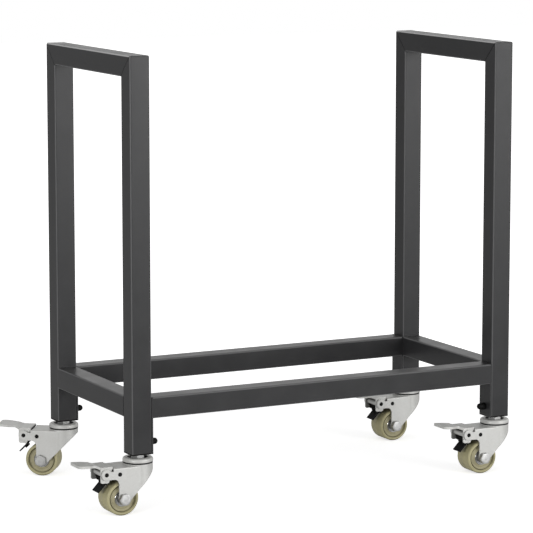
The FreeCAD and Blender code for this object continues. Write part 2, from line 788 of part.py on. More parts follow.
def wheel_bearing(label, side):
    body = new_body(label)
    turned = sketch_on(body, "XY_Plane")
    bore = g["bearing_bore"] / 2
    rim = g["bearing_size"] / 2 - slack
    ring = g["bearing_rim"]
    outer = core_half * side
    dish = (core_half - g["shield_dish"]) * side
    inner = (core_half - g["bearing_width"]) * side
    outline(turned, [(bore, outer), (bore, inner), (rim, inner), (rim, outer), (rim - ring, outer),
                     (rim - ring, dish), (bore + ring, dish), (bore + ring, outer)])
    revolve(body, turned, "V_Axis")
    return body


def brake_pedal(label):
    """A channel: top plate with ramp and flared end, two flanges between the ears, a barrel and a bar."""
    body = new_body(label)
    pin_u, pin_z = pedal_pin
    low = fork_top - g["pedal_sink"]
    thick = g["pedal_sheet"]
    heel = pin_u - g["pedal_heel"]
    tip = pin_u + g["pedal_reach"]
    ramp_start = pin_u + g["pedal_ramp_start"]
    ramp_end = pin_u + g["pedal_ramp_end"]
    ramp_low = low + g["pedal_ramp_rise"]
    tip_low = low + g["pedal_tip_rise"]
    bend = g["pedal_bend"]
    side = sketch_on(body, "XZ_Plane")
    outline(side, [(heel, low), (ramp_start, low, bend), (ramp_end, ramp_low, bend),
                   (tip, tip_low), (tip, tip_low + thick), (ramp_end, ramp_low + thick, bend),
                   (ramp_start, low + thick, bend), (heel, low + thick)])
    pad(body, side, g["pedal_flare"] + margin, both=True)
    half = fork_inside - g["side_slack"]
    flare = g["pedal_flare"] / 2
    neck = g["pedal_neck"] / 2
    flare_u = pin_u + g["pedal_flare_start"]
    corner = g["pedal_corner"]
    right = [(heel, half), (ramp_start, half, corner), (ramp_end, neck, corner * 2),
             (flare_u, flare, corner * 2), (tip, flare, corner)]
    left = [(spot[0], -spot[1]) + tuple(spot[2:]) for spot in reversed(right)]
    plan = trim_to_plan(body, heel - margin, tip + margin, flare + margin)
    outline(plan, right + left)
    pocket(body, plan)
    flange = sketch_on(body, "XZ_Plane")
    round_off = g["flange_round"]
    back_u, front_u = pin_u - g["flange_heel"], pin_u + g["flange_toe"]
    waist_u = pin_u - g["flange_waist"]
    bottom = pin_z - g["flange_drop"]
    top = low + thick / 2
    outline(flange, [(back_u, top), (front_u, top), (front_u, bottom, round_off),
                     (waist_u, bottom, round_off), (waist_u, pin_z - g["flange_shoulder"]),
                     (back_u, pin_z)])
    pad(body, flange, half * 2, both=True)
    inside = sketch_on(body, "XY_Plane")
    gap = half - g["pedal_flange_sheet"]
    rectangle(inside, back_u - margin, front_u + margin, -gap, gap)
    pocket(body, inside, low, back=True)
    bar = sketch_on(body, "XZ_Plane")
    reach = plate_out + g["brake_sheet"] + g["side_slack"] + g["cam_size"] / 2
    circle(bar, *by_brake(reach, -g["brake_sheet"]), g["cam_size"] / 2)
    pad(body, bar, half * 2 - g["pedal_flange_sheet"], both=True)
    barrel = sketch_on(body, "XZ_Plane")
    circle(barrel, pin_u, pin_z, g["pedal_barrel"] / 2)
    pad(body, barrel, half * 2 - g["pedal_flange_sheet"], both=True)
    hole = sketch_on(body, "XZ_Plane")
    circle(hole, pin_u, pin_z, g["pin_size"] / 2 + slack)
    pocket(body, hole)
    return body


def brake_plate(label):
    """A bent strip on a barrel; a narrower tongue at its lower end carries the pad."""
    body = new_body(label)
    pin_u, pin_z = brake_pin
    thick = g["brake_sheet"]
    knee, end = -g["brake_knee"], g["brake_end"]
    strip = sketch_on(body, "XZ_Plane")
    bend = g["brake_bend"]
    outline(strip, [(pin_u, pin_z - thick / 2), by_brake(plate_out, knee) + (bend,),
                    by_brake(plate_out, end), by_brake(plate_out + thick, end),
                    by_brake(plate_out + thick, knee) + (bend + thick,),
                    (pin_u + thick / 2, pin_z + thick / 2)])
    pad(body, strip, g["brake_width"], both=True)
    tongue = sketch_on(body, "XY_Plane")
    low_u = by_brake(plate_out, g["tongue_start"])[0]
    high_u = by_brake(plate_out + thick, end)[0] + margin
    wide, narrow = g["brake_width"] / 2 + margin, g["tongue_width"] / 2
    rectangle(tongue, low_u, high_u, narrow, wide)
    rectangle(tongue, low_u, high_u, -wide, -narrow)
    pocket(body, tongue)
    barrel = sketch_on(body, "XZ_Plane")
    circle(barrel, pin_u, pin_z, g["barrel_size"] / 2)
    pad(body, barrel, (fork_inside - g["side_slack"]) * 2, both=True)
    hole = sketch_on(body, "XZ_Plane")
    circle(hole, pin_u, pin_z, g["pin_size"] / 2 + slack)
    pocket(body, hole)
    return body


def brake_pad(label):
    body = new_body(label)
    face = plate_out - g["pad_thickness"]
    block = sketch_on(body, "XZ_Plane")
    rounding = (g["pad_round"],)
    outline(block, [by_brake(plate_out, g["pad_start"]), by_brake(face, g["pad_start"]) + rounding,
                    by_brake(face, g["pad_end"]) + rounding, by_brake(plate_out, g["pad_end"])])
    pad(body, block, g["tongue_width"] - g["pad_inset"] * 2, both=True)
    return body


def rivet(label, spot):
    body = new_body(label)
    heads = sketch_on(body, "XZ_Plane")
    circle(heads, spot[0], spot[1], g["pin_head"] / 2)
    pad(body, heads, g["fork_width"] + g["pin_head_height"] * 2, both=True)
    neck = sketch_on(body, "XZ_Plane", -fork_half)
    circle(neck, spot[0], spot[1], g["pin_size"] / 2)
    circle(neck, spot[0], spot[1], g["pin_head"] / 2 + margin)
    pocket(body, neck, g["fork_width"], back=True)
    return body


for name, side_x, side_y in LEGS:
    x, y = leg_x * side_x, leg_y * side_y
    heading = g[f"{name}_heading"]
    axle_x = x + trail * cosine(heading)
    axle_y = y + trail * sine(heading)

    def at_swivel(piece):
        place(piece, x, y, ZERO, turn=heading)
        return piece

    def at_axle(piece):
        place(piece, axle_x, axle_y, axle_z, turn=heading)
        return piece

    for maker in (fork, brake_pedal, brake_plate, brake_pad):
        node(at_swivel(maker(f"{name}_{maker.__name__}")))
    for maker in (axle_bolt, axle_nut, wheel_tread, wheel_core):
        node(at_axle(maker(f"{name}_{maker.__name__}")))
    for maker, label in ((axle_bushing, "axle_bushings"), (wheel_bearing, "wheel_bearings")):
        pair = [at_axle(maker(f"{name}_{maker.__name__}_{side}", side)) for side in (1, -1)]
        group(f"{name}_{label}", pair)
    pins = [at_swivel(rivet(f"{name}_{which}", spot))
            for which, spot in (("pedal_rivet", pedal_pin), ("brake_rivet", brake_pin))]
    group(f"{name}_rivets", pins)

doc.recompute()

# Every object must be sound before anything is written.
for thing in doc.Objects:
    if any(flag in thing.State for flag in ("Invalid", "Error")):
        raise RuntimeError(f"{thing.Name} of {thing.Label} did not build: {thing.State}")
for thing in nodes:
    shape = thing.Shape
    if shape.isNull() or not shape.isValid() or not shape.Solids:
        raise RuntimeError(f"{thing.Label} has no sound solid")

os.makedirs("parts", exist_ok=True)
for thing in nodes:
    thing.Shape.exportStep(f"parts/{thing.Label}.step")
    print(thing.Label, len(thing.Shape.Solids), round(thing.Shape.Volume, 1))
print(len(nodes), "sub-parts")
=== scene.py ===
import json
import math

import bmesh
import bpy
from mathutils import Matrix, Vector


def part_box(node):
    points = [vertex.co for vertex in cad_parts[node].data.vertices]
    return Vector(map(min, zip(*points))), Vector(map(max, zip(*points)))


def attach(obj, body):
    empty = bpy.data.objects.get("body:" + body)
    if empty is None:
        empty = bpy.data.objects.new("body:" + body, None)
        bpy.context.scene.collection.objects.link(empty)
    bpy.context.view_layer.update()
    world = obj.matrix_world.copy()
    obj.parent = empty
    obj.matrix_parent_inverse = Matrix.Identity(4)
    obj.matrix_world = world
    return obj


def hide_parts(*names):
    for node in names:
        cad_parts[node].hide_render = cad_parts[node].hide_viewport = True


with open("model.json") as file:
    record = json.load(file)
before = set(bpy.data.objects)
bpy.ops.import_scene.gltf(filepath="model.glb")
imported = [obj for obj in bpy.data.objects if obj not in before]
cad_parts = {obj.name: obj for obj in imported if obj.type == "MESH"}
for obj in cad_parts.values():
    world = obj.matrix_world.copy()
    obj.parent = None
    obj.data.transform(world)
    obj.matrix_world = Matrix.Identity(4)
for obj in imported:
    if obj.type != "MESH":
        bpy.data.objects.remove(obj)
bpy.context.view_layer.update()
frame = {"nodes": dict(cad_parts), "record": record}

nodes = frame["nodes"]
scene = bpy.context.scene
scene.view_settings.view_transform = "Standard"

# Sizes that the pieces made here share with the solids, in metres.
FORK_HALF = 0.0215
CAP_RADIUS = 0.0226
DISH_RADIUS = 0.0150
SEAM_LOW, SEAM_HIGH = 0.0739, 0.0764
SCREW_SEAT = 0.017875
UP = Vector((0, 0, 1))

# Where every caster stands: taken from the joints of the part.
joints = {joint["name"]: joint for joint in frame["record"]["behaviour"]["joints"]}
CASTERS = ("front_left", "front_right", "rear_left", "rear_right")
legs = []
for caster in CASTERS:
    swivel = joints[f"{caster}_swivel"]["pos_m"]
    legs.append(Vector((swivel[0], swivel[1], 0.0)))
LEG_X, LEG_Y = abs(legs[0].x), abs(legs[0].y)


def srgb(red, green, blue):
    """A colour as it is seen on a screen, 0 to 255, as the linear colour that a shader takes."""
    def linear(channel):
        share = channel / 255
        return share / 12.92 if share <= 0.04045 else ((share + 0.055) / 1.055) ** 2.4
    return (linear(red), linear(green), linear(blue), 1.0)


# Node helpers, for shaders and for geometry alike.
def add(tree, kind, sockets=None, **settings):
    """A new node; a socket is linked to an output, or else set to a value."""
    made = tree.nodes.new(kind)
    for key, value in settings.items():
        setattr(made, key, value)
    for key, value in (sockets or {}).items():
        if isinstance(value, bpy.types.NodeSocket):
            tree.links.new(value, made.inputs[key])
        else:
            made.inputs[key].default_value = value
    return made


def maths(tree, operation, *terms, clamp=False):
    made = add(tree, "ShaderNodeMath", dict(enumerate(terms)), operation=operation, use_clamp=clamp)
    return made.outputs[0]


def blend(tree, share, first, second):
    """A colour between two colours."""
    made = add(tree, "ShaderNodeMix", {0: share, 6: first, 7: second}, data_type="RGBA")
    return made.outputs[2]


def tint(tree, colour, mask, share, other):
    """A colour with another laid over it where the mask is, at most by this share."""
    return blend(tree, maths(tree, "MULTIPLY", mask, share), colour, other)


def ramp(tree, value, low, high, out_low=0.0, out_high=1.0):
    """A value taken from one range to another, and held at the ends."""
    sockets = {"Value": value, "From Min": low, "From Max": high, "To Min": out_low, "To Max": out_high}
    return add(tree, "ShaderNodeMapRange", sockets, clamp=True).outputs[0]


def noise(tree, place, scale, detail, roughness=0.5):
    """A cloudy value from 0 to 1."""
    sockets = {"Vector": place, "Scale": scale, "Detail": detail, "Roughness": roughness}
    return add(tree, "ShaderNodeTexNoise", sockets).outputs["Fac"]


def split(tree, vector):
    """The X, Y and Z of a vector."""
    return add(tree, "ShaderNodeSeparateXYZ", {0: vector}).outputs


def object_place(tree):
    return add(tree, "ShaderNodeTexCoord").outputs["Object"]


def face_normal(tree):
    return add(tree, "ShaderNodeNewGeometry").outputs["Normal"]


def new_group(kind, name, inputs, outputs):
    """An empty node group with named sockets: the tree, what comes in and what goes out."""
    tree = bpy.data.node_groups.new(name, kind)
    for label, socket, value in inputs:
        made = tree.interface.new_socket(label, in_out="INPUT", socket_type=socket)
        if value is not None:
            made.default_value = value
    for label, socket in outputs:
        tree.interface.new_socket(label, in_out="OUTPUT", socket_type=socket)
    return tree, add(tree, "NodeGroupInput").outputs, add(tree, "NodeGroupOutput").inputs


NUMBER = "NodeSocketFloat"
MOTTLE_SPREAD = 24.0


# Effects that several finishes share.
def fine_texture_group():
    """Height of a fine pebbled skin, and a broad mottle."""
    tree, given, result = new_group("ShaderNodeTree", "fine_texture",
                                    [("Scale", NUMBER, 900.0)],
                                    [("Height", NUMBER), ("Mottle", NUMBER)])
    place = object_place(tree)
    broad = maths(tree, "DIVIDE", given["Scale"], MOTTLE_SPREAD)
    tree.links.new(noise(tree, place, given["Scale"], 2.0), result["Height"])
    tree.links.new(ramp(tree, noise(tree, place, broad, 3.0), 0.3, 0.7), result["Mottle"])
    return tree


def edge_wear_and_highlight_group():
    """A mask of edges, broken up, for worn edges and for painted edge highlights; and the softened
    normal.
    """
    tree, given, result = new_group("ShaderNodeTree", "edge_wear_and_highlight",
                                    [("Width", NUMBER, 0.001), ("Break Up", NUMBER, 120.0)],
                                    [("Mask", NUMBER), ("Normal", "NodeSocketVector")])
    soft = add(tree, "ShaderNodeBevel", {"Radius": given["Width"]}, samples=6).outputs[0]
    along = add(tree, "ShaderNodeVectorMath", {0: soft, 1: face_normal(tree)}, operation="DOT_PRODUCT")
    edge = ramp(tree, along.outputs["Value"], 0.995, 0.90)
    patch = noise(tree, object_place(tree), given["Break Up"], 3.0)
    broken = ramp(tree, patch, 0.35, 0.65, 0.35, 1.0)
    tree.links.new(maths(tree, "MULTIPLY", edge, broken), result["Mask"])
    tree.links.new(soft, result["Normal"])
    return tree


def painted_occlusion_shade_group():
    """A mask of painted shade in narrow gaps and inner corners, taken from occlusion."""
    tree, given, result = new_group("ShaderNodeTree", "painted_occlusion_shade",
                                    [("Distance", NUMBER, 0.003), ("Scale", NUMBER, 200.0)],
                                    [("Mask", NUMBER)])
    open_sky = add(tree, "ShaderNodeAmbientOcclusion", {"Distance": given["Distance"]}, samples=8)
    occlusion_shade = ramp(tree, open_sky.outputs["AO"], 0.62, 0.22)
    patch = noise(tree, object_place(tree), given["Scale"], 3.0)
    broken = ramp(tree, patch, 0.2, 0.6, 0.75, 1.0)
    tree.links.new(maths(tree, "MULTIPLY", occlusion_shade, broken), result["Mask"])
    return tree


def handling_marks_group():
    """A mask of fine drawn lines and scuffs, stretched along X."""
    tree, given, result = new_group("ShaderNodeTree", "handling_marks",
                                    [("Scale", NUMBER, 60.0), ("Stretch", NUMBER, 14.0)],
                                    [("Mask", NUMBER)])
    place = object_place(tree)
    thin = add(tree, "ShaderNodeCombineXYZ", {0: 1.0, 1: given["Stretch"], 2: given["Stretch"]})
    drawn = add(tree, "ShaderNodeVectorMath", {0: place, 1: thin.outputs[0]}, operation="MULTIPLY")
    lines = ramp(tree, noise(tree, drawn.outputs[0], given["Scale"], 4.0, 0.6), 0.52, 0.72)
    where = ramp(tree, noise(tree, place, given["Scale"], 2.0), 0.42, 0.66)
    tree.links.new(maths(tree, "MULTIPLY", lines, where), result["Mask"])
    return tree


def settled_dust_group():
    """A mask of dust: on faces that look up, more of it low down."""
    tree, given, result = new_group("ShaderNodeTree", "settled_dust",
                                    [("Scale", NUMBER, 45.0), ("Reach", NUMBER, 0.12)],
                                    [("Mask", NUMBER)])
    place = object_place(tree)
    lying = ramp(tree, split(tree, face_normal(tree))["Z"], 0.2, 0.95)
    high = maths(tree, "DIVIDE", split(tree, place)["Z"], given["Reach"], clamp=True)
    low = maths(tree, "SUBTRACT", 1.0, high)
    amount = maths(tree, "MAXIMUM", lying, maths(tree, "MULTIPLY", low, 0.6))
    cover = ramp(tree, noise(tree, place, given["Scale"], 5.0), 0.3, 0.75)
    tree.links.new(maths(tree, "MULTIPLY", amount, cover), result["Mask"])
    return tree


EFFECTS = {
    "fine_texture": fine_texture_group(),
    "edge_wear_and_highlight": edge_wear_and_highlight_group(),
    "painted_occlusion_shade": painted_occlusion_shade_group(),
    "handling_marks": handling_marks_group(),
    "settled_dust": settled_dust_group(),
}


def effect(tree, name, sockets):
    """The mask that a shared effect puts out."""
    return add(tree, "ShaderNodeGroup", sockets, node_tree=EFFECTS[name]).outputs["Mask"]


def skin(tree, scale):
    """The mottle and the height of a fine pebbled skin."""
    made = add(tree, "ShaderNodeGroup", {"Scale": scale}, node_tree=EFFECTS["fine_texture"])
    return made.outputs["Mottle"], made.outputs["Height"]


def new_finish(name, metallic=0.0, **fixed):
    """A material with its shader: the tree and the shader's inputs."""
    material = bpy.data.materials.new(name)
    material.use_nodes = True
    tree = material.node_tree
    shader = tree.nodes["Principled BSDF"].inputs
    shader["Metallic"].default_value = metallic
    for key, value in fixed.items():
        shader[key.replace("_", " ")].default_value = value
    return material, tree, shader


def bump(tree, shader, height, strength, depth, normal=None):
    """Lay a height on the shader's normal, or on a softened one."""
    made = add(tree, "ShaderNodeBump", {"Height": height, "Strength": strength, "Distance": depth})
    if normal is not None:
        tree.links.new(normal, made.inputs["Normal"])
    tree.links.new(made.outputs[0], shader["Normal"])


def lay(tree, socket, output):
    tree.links.new(output, socket)


# Sizes in the coat of the tubes, in metres: how far below the top of a rail the painted highlight of
# the top corners reaches, and half width of a mitre line.
TOP_HIGHLIGHT_DEPTH, TOP_HIGHLIGHT_FADE = 0.006, 0.010
MITRE_HALF, MITRE_FADE, MITRE_END = 0.0009, 0.0017, 0.001
# How a face is known as a rounded corner: the largest share of its normal, and the smaller shares.
CORNER_START, CORNER_FULL = 0.99, 0.90
SLANT_START, SLANT_FULL = 0.15, 0.35


def frame_coat():
    """Satin charcoal powder coat with a fine pebbled skin; the mitred corners show as a dark line.
    Painted highlights lighten its rounded corners, the top corners of the rails and its edges, and
    painted shade darkens its gaps and inner corners.
    """
    material, tree, shader = new_finish("frame_coat", Specular_IOR_Level=0.24)
    mottle, height = skin(tree, 620.0)
    edge_wear_and_sheen = effect(tree, "edge_wear_and_highlight", {"Width": 0.0010, "Break Up": 60.0})
    corner, top_corner_highlight = round_corner_highlights(tree)
    dust = effect(tree, "settled_dust", {"Scale": 30.0, "Reach": 0.10})
    marks = effect(tree, "handling_marks", {"Scale": 24.0, "Stretch": 9.0})
    occlusion_shade = effect(tree, "painted_occlusion_shade", {"Distance": 0.002, "Scale": 90.0})
    colour = blend(tree, mottle, srgb(42, 42, 43), srgb(47, 47, 48))
    # Painted highlight on every rounded corner of the tubes.
    colour = tint(tree, colour, corner, 0.55, srgb(112, 112, 113))
    # Painted highlight, near white, on the rounded top corners of the rails.
    colour = tint(tree, colour, top_corner_highlight, 0.85, srgb(186, 186, 186))
    # Painted highlight along the edges.
    colour = tint(tree, colour, edge_wear_and_sheen, 0.30, srgb(110, 110, 110))
    colour = tint(tree, colour, dust, 0.12, srgb(150, 148, 144))
    # Painted shade in narrow gaps and inner corners.
    colour = tint(tree, colour, occlusion_shade, 0.7, srgb(12, 12, 12))
    colour = tint(tree, colour, mitre_line(tree), 0.90, srgb(8, 8, 8))
    lay(tree, shader["Base Color"], colour)
    rough = ramp(tree, mottle, 0.0, 1.0, 0.31, 0.38)
    rough = maths(tree, "ADD", rough, maths(tree, "MULTIPLY", dust, 0.08))
    lay(tree, shader["Roughness"], maths(tree, "SUBTRACT", rough, maths(tree, "MULTIPLY", marks, 0.03)))
    bump(tree, shader, height, strength=0.25, depth=0.00006)
    return material


def round_corner_highlights(tree):
    """Masks of painted highlights on the rounded tube corners: all, and those along the top rails."""
    normal = face_normal(tree)
    upright = add(tree, "ShaderNodeVectorMath", {0: normal}, operation="ABSOLUTE").outputs[0]
    along = split(tree, upright)
    flat = maths(tree, "MAXIMUM", maths(tree, "MAXIMUM", along["X"], along["Y"]), along["Z"])
    corner = ramp(tree, flat, CORNER_START, CORNER_FULL)
    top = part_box("left_top_rail")[1].z
    high = ramp(tree, split(tree, object_place(tree))["Z"], top - TOP_HIGHLIGHT_FADE, top - TOP_HIGHLIGHT_DEPTH)
    upward = ramp(tree, split(tree, normal)["Z"], SLANT_START, SLANT_FULL)
    sideways = ramp(tree, along["X"], SLANT_START, SLANT_FULL)
    slanting = maths(tree, "MULTIPLY", upward, sideways)
    return corner, maths(tree, "MULTIPLY", maths(tree, "MULTIPLY", corner, high), slanting)


def mitre_line(tree):
    """A mask of the slanted joints at the top corners of the two end frames."""
    spot = split(tree, object_place(tree))
    low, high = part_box("left_top_rail")
    rail = high.z - low.z
    down = maths(tree, "SUBTRACT", high.z, spot["Z"])
    inward = maths(tree, "SUBTRACT", high.y, maths(tree, "ABSOLUTE", spot["Y"]))
    off = maths(tree, "ABSOLUTE", maths(tree, "SUBTRACT", down, inward))
    line = ramp(tree, off, MITRE_FADE, MITRE_HALF)
    near = ramp(tree, down, rail + MITRE_END, rail)
    return maths(tree, "MULTIPLY", line, near)


def black_plastic(name, light, rough):
    """Black moulding with a matt skin and a little dust."""
    material, tree, shader = new_finish(name, Specular_IOR_Level=0.12)
    mottle, height = skin(tree, 1400.0)
    dust = effect(tree, "settled_dust", {"Scale": 90.0, "Reach": 0.09})
    colour = blend(tree, mottle, srgb(light, light, light), srgb(light + 6, light + 6, light + 5))
    colour = tint(tree, colour, dust, 0.06, srgb(140, 134, 124))
    lay(tree, shader["Base Color"], colour)
    lay(tree, shader["Roughness"], ramp(tree, mottle, 0.0, 1.0, rough - 0.06, rough + 0.06))
    bump(tree, shader, height, strength=0.35, depth=0.00005)
    return material


def black_steel():
    """Blackened steel, worn a little lighter along its edges."""
    material, tree, shader = new_finish("black_steel", Specular_IOR_Level=0.12)
    mottle, height = skin(tree, 900.0)
    edge_wear_and_sheen = effect(tree, "edge_wear_and_highlight", {"Width": 0.0004, "Break Up": 260.0})
    colour = blend(tree, mottle, srgb(10, 10, 10), srgb(16, 16, 16))
    colour = tint(tree, colour, edge_wear_and_sheen, 0.12, srgb(80, 79, 77))
    lay(tree, shader["Base Color"], colour)
    lay(tree, shader["Roughness"], ramp(tree, mottle, 0.0, 1.0, 0.52, 0.62))
    bump(tree, shader, height, strength=0.2, depth=0.00004)
    return material


# How the darkened dish and the painted shadow of the seam end, in metres: their soft edge, and how far
# the seam shadow comes out past the cap.
SWIVEL_DARK_EDGE = 0.0002
SEAM_REACH, SEAM_FADE = 0.0010, 0.0020


def swivel_dish_and_seam_shade(tree):
    """A mask of the dark parts of the swivel heads: the darkened dish round a stem, and painted shadow
    in the seam under its cap.
    """
    spot = split(tree, object_place(tree))
    off = []
    for axis, leg in (("X", LEG_X), ("Y", LEG_Y)):
        side = maths(tree, "SUBTRACT", maths(tree, "ABSOLUTE", spot[axis]), leg)
        off.append(maths(tree, "MULTIPLY", side, side))
    reach = maths(tree, "SQRT", maths(tree, "ADD", *off))
    dish = ramp(tree, reach, DISH_RADIUS + SWIVEL_DARK_EDGE, DISH_RADIUS - SWIVEL_DARK_EDGE * 2)
    half = (SEAM_HIGH - SEAM_LOW) / 2
    level = maths(tree, "ABSOLUTE", maths(tree, "SUBTRACT", spot["Z"], SEAM_LOW + half))
    within = ramp(tree, level, half + SWIVEL_DARK_EDGE, half - SWIVEL_DARK_EDGE)
    under = ramp(tree, reach, CAP_RADIUS + SEAM_FADE, CAP_RADIUS + SEAM_REACH)
    return maths(tree, "MAXIMUM", dish, maths(tree, "MULTIPLY", within, under))


def zinc(name, shade_reach=0.004, darkened_swivel=False):
    """Pale zinc on pressed sheet: faint crystals, drawn lines, painted highlight along its edges,
    painted shade in its gaps.
    """
    material, tree, shader = new_finish(name, metallic=0.25)
    crystals = add(tree, "ShaderNodeTexVoronoi", {"Vector": object_place(tree), "Scale": 420.0})
    tone = add(tree, "ShaderNodeSeparateColor", {0: crystals.outputs["Color"]}).outputs[0]
    mottle, height = skin(tree, 1100.0)
    marks = effect(tree, "handling_marks", {"Scale": 110.0, "Stretch": 10.0})
    edges = add(tree, "ShaderNodeGroup", {"Width": 0.0005, "Break Up": 220.0},
                node_tree=EFFECTS["edge_wear_and_highlight"])
    dust = effect(tree, "settled_dust", {"Scale": 120.0, "Reach": 0.05})
    occlusion_shade = effect(tree, "painted_occlusion_shade", {"Distance": shade_reach, "Scale": 300.0})
    colour = tint(tree, srgb(197, 197, 194), tone, 0.5, srgb(206, 206, 204))
    colour = tint(tree, colour, mottle, 0.3, srgb(190, 189, 184))
    colour = tint(tree, colour, marks, 0.25, srgb(176, 176, 175))
    # Painted highlight along the edges.
    colour = tint(tree, colour, edges.outputs["Mask"], 0.5, srgb(226, 226, 224))
    colour = tint(tree, colour, dust, 0.12, srgb(160, 154, 142))
    # Painted shade in gaps and under parts, as far as the shade reach.
    colour = tint(tree, colour, occlusion_shade, 0.92, srgb(34, 33, 31))
    rough = ramp(tree, tone, 0.0, 1.0, 0.40, 0.50)
    rough = maths(tree, "ADD", rough, maths(tree, "MULTIPLY", marks, 0.12))
    if darkened_swivel:
        # Darkened dish round the stem, and painted shadow in the seam under the cap.
        dish_and_seam_shade = swivel_dish_and_seam_shade(tree)
        colour = tint(tree, colour, dish_and_seam_shade, 0.95, srgb(14, 13, 13))
        rough = maths(tree, "ADD", rough, maths(tree, "MULTIPLY", dish_and_seam_shade, 0.10))
    lay(tree, shader["Base Color"], colour)
    lay(tree, shader["Roughness"], rough)
    bump(tree, shader, height, strength=0.12, depth=0.00003, normal=edges.outputs["Normal"])
    return material


def bright_metal(name, light, rough, scale):
    """Plated or turned steel: fine lines, and painted shade in its corners."""
    material, tree, shader = new_finish(name, metallic=1.0)
    mottle, height = skin(tree, scale)
    marks = effect(tree, "handling_marks", {"Scale": 240.0, "Stretch": 8.0})
    occlusion_shade = effect(tree, "painted_occlusion_shade", {"Distance": 0.0035, "Scale": 400.0})
    colour = blend(tree, mottle, srgb(light, light, light), srgb(light + 12, light + 12, light + 10))
    colour = tint(tree, colour, marks, 0.3, srgb(128, 128, 130))
    # Painted shade in its corners and gaps.
    colour = tint(tree, colour, occlusion_shade, 0.9, srgb(30, 29, 28))
    lay(tree, shader["Base Color"], colour)
    spread = ramp(tree, mottle, 0.0, 1.0, rough, rough + 0.10)
    lay(tree, shader["Roughness"], maths(tree, "ADD", spread, maths(tree, "MULTIPLY", marks, 0.15)))
    bump(tree, shader, height, strength=0.1, depth=0.00002)
    return material


def urethane(name, dark, light, rough):
    """Khaki moulded wheel: cloudy colour, a soft satin skin, scuffs, and painted shade in its grooves.
    """
    material, tree, shader = new_finish(name, Specular_IOR_Level=0.4)
    mottle, height = skin(tree, 1300.0)
    marks = effect(tree, "handling_marks", {"Scale": 150.0, "Stretch": 6.0})
    dust = effect(tree, "settled_dust", {"Scale": 160.0, "Reach": 0.03})
    occlusion_shade = effect(tree, "painted_occlusion_shade", {"Distance": 0.0060, "Scale": 260.0})
    colour = blend(tree, mottle, dark, light)
    colour = tint(tree, colour, marks, 0.22, srgb(206, 200, 172))
    colour = tint(tree, colour, dust, 0.15, srgb(150, 142, 120))
    # Painted shade in the grooves and gaps.
    colour = tint(tree, colour, occlusion_shade, 0.90, srgb(48, 43, 28))
    lay(tree, shader["Base Color"], colour)
    lay(tree, shader["Roughness"], ramp(tree, mottle, 0.0, 1.0, rough - 0.05, rough + 0.07))
    bump(tree, shader, height, strength=0.2, depth=0.00004)
    return material


FINISHES = {
    "frame_coat": frame_coat(),
    "plug_plastic": black_plastic("plug_plastic", light=12, rough=0.60),
    "pad_rubber": black_plastic("pad_rubber", light=9, rough=0.75),
    "black_steel": black_steel(),
    # The forks' zinc, with the darkened swivel dish and painted shadow in the cap seam.
    "zinc_sheet": zinc("zinc_sheet", darkened_swivel=True),
    "bright_steel": bright_metal("bright_steel", light=176, rough=0.50, scale=700.0),
    "ball_steel": bright_metal("ball_steel", light=178, rough=0.16, scale=500.0),
    "tread_urethane": urethane("tread_urethane", srgb(164, 158, 121), srgb(172, 166, 129), rough=0.42),
    "core_nylon": urethane("core_nylon", srgb(158, 152, 121), srgb(168, 162, 131), rough=0.46),
}
# The pedals' zinc with painted shade reaching 50 mm, which darkens the space under each pedal and
# between its flanges.
pedal_shaded_finish = zinc("zinc_pedal_painted_shade", shade_reach=0.050)

for part in frame["record"]["subparts"]:
    nodes[part["node"]].material_slots[0].material = FINISHES[part["material_slot"]]
for caster in CASTERS:
    nodes[f"{caster}_brake_pedal"].material_slots[0].material = pedal_shaded_finish


# Shapes that repeat: each tree puts its shape on every point of the piece, along the point's axis.
def repeat_on_points(tree, given, result, shape):
    axis = add(tree, "GeometryNodeInputNamedAttribute", {"Name": "axis"}, data_type="FLOAT_VECTOR")
    turn = add(tree, "FunctionNodeAlignRotationToVector", {"Vector": axis.outputs[0]}, axis="Z")
    placed = add(tree, "GeometryNodeInstanceOnPoints",
                 {"Points": given["Geometry"], "Instance": shape, "Rotation": turn.outputs[0]})
    real = add(tree, "GeometryNodeRealizeInstances", {0: placed.outputs[0]})
    coated = add(tree, "GeometryNodeSetMaterial",
                 {"Geometry": real.outputs[0], "Material": given["Material"]})
    tree.links.new(coated.outputs[0], result["Geometry"])


def shape_tree(name, sizes):
    """An empty tree whose inputs are the points, the sizes and the material."""
    inputs = [("Geometry", "NodeSocketGeometry", None)]
    inputs += [(label, NUMBER, value) for label, value in sizes]
    inputs += [("Material", "NodeSocketMaterial", None)]
    return new_group("GeometryNodeTree", name, inputs, [("Geometry", "NodeSocketGeometry")])


def moved(tree, mesh, height):
    """A mesh raised along its own axis."""
    lift = add(tree, "ShaderNodeCombineXYZ", {2: height})
    sockets = {"Geometry": mesh, "Translation": lift.outputs[0]}
    return add(tree, "GeometryNodeTransform", sockets).outputs[0]


# Shares in a hexagon: its straight middle, the barrel past its corners, the end face and the drill.
HEX_MIDDLE, HEX_PAST, HEX_FACE, HEX_DRILL = 0.3, 1.01, 0.48, 3.0
HEX_TAPER = math.radians(30)
# Height of a thread's ridge, as a share of its pitch.
RIDGE_SHARE = 0.55


